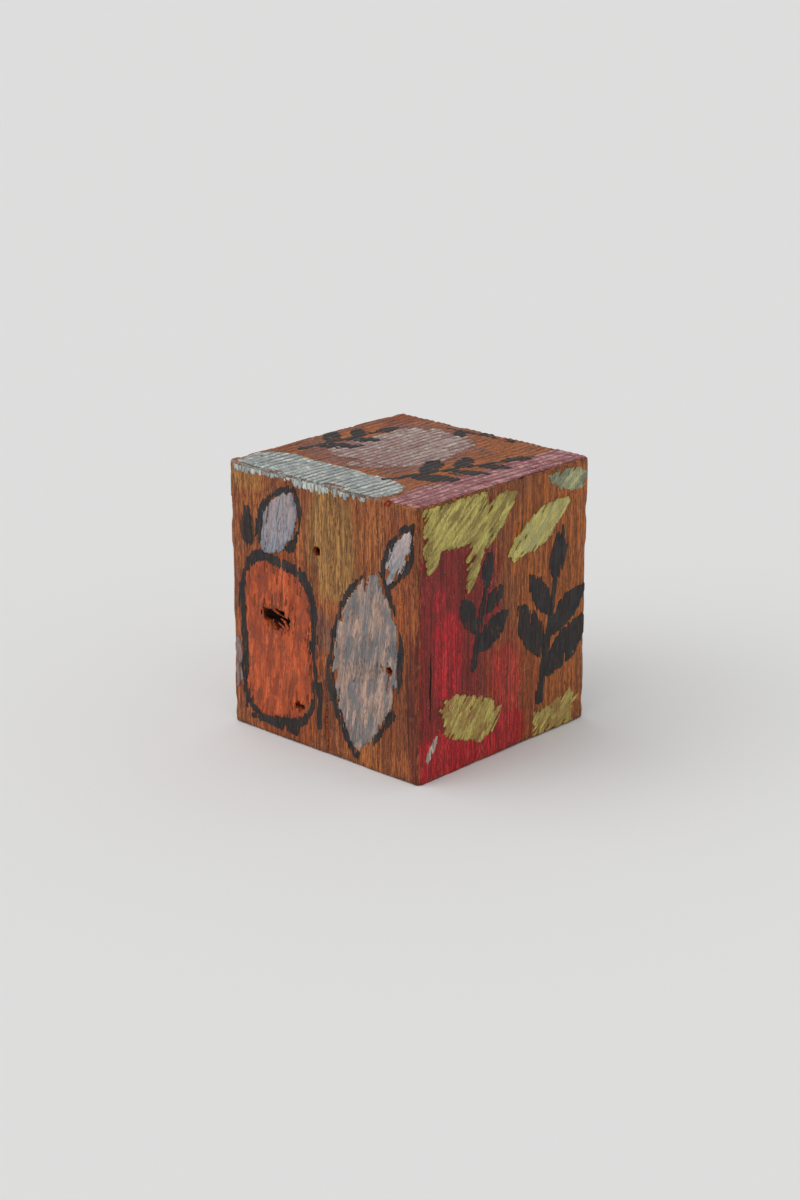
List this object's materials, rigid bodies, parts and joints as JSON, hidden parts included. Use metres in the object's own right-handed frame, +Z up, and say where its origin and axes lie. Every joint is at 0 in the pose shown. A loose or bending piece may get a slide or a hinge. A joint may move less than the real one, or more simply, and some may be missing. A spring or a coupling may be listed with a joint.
{
  "type": "painted wooden block",
  "caption": "Solid block of softwood post, standing on its sawn end, with hand-brushed coats of paint on its faces.",
  "frame": {"origin": "centre of the underside, on the bare wood", "axes": "+Z up along the grain, -Y out of the front face, +X out of the right face"},
  "size_m": [0.09, 0.0878, 0.0963],
  "materials": {
    "wood": "stained and worn, sawn ends",
    "back_blue_band_paint": "brushed body paint, dry and matt",
    "back_ochre_leaf_paint": "brushed body paint, dry and matt",
    "back_pale_green_paint": "brushed body paint, dry and matt",
    "front_edge_grey_paint": "brushed body paint, dry and matt",
    "front_grey_leaf_paint": "brushed body paint, dry and matt",
    "front_orange_patch_paint": "brushed body paint, dry and matt",
    "front_pale_leaf_paint": "brushed body paint, dry and matt",
    "front_pink_leaf_paint": "brushed body paint, dry and matt",
    "left_blue_leaf_paint": "brushed body paint, dry and matt",
    "left_pink_patch_paint": "brushed body paint, dry and matt",
    "left_yellow_leaf_paint": "brushed body paint, dry and matt",
    "right_corner_yellow_paint": "brushed body paint, dry and matt",
    "right_lower_yellow_paint": "brushed body paint, dry and matt",
    "right_pale_green_paint": "brushed body paint, dry and matt",
    "right_white_dab_paint": "brushed body paint, dry and matt",
    "right_yellow_dabs_paint": "brushed body paint, dry and matt",
    "right_yellow_leaf_paint": "brushed body paint, dry and matt",
    "top_blue_band_paint": "brushed body paint, dry and matt",
    "top_crimson_band_paint": "brushed body paint, dry and matt",
    "top_lilac_field_paint": "brushed body paint, dry and matt"
  },
  "bodies": {
    "root": {"back_blue_band_paint": "back_blue_band_paint", "back_ochre_leaf_paint": "back_ochre_leaf_paint", "back_pale_green_paint": "back_pale_green_paint", "front_edge_grey_paint": "front_edge_grey_paint", "front_grey_leaf_paint": "front_grey_leaf_paint", "front_orange_patch_paint": "front_orange_patch_paint", "front_pale_leaf_paint": "front_pale_leaf_paint", "front_pink_leaf_paint": "front_pink_leaf_paint", "left_blue_leaf_paint": "left_blue_leaf_paint", "left_pink_patch_paint": "left_pink_patch_paint", "left_yellow_leaf_paint": "left_yellow_leaf_paint", "right_corner_yellow_paint": "right_corner_yellow_paint", "right_lower_yellow_paint": "right_lower_yellow_paint", "right_pale_green_paint": "right_pale_green_paint", "right_white_dab_paint": "right_white_dab_paint", "right_yellow_dabs_paint": "right_yellow_dabs_paint", "right_yellow_leaf_paint": "right_yellow_leaf_paint", "top_blue_band_paint": "top_blue_band_paint", "top_crimson_band_paint": "top_crimson_band_paint", "top_lilac_field_paint": "top_lilac_field_paint", "wood_block": "wood"}
  },
  "joints": []
}
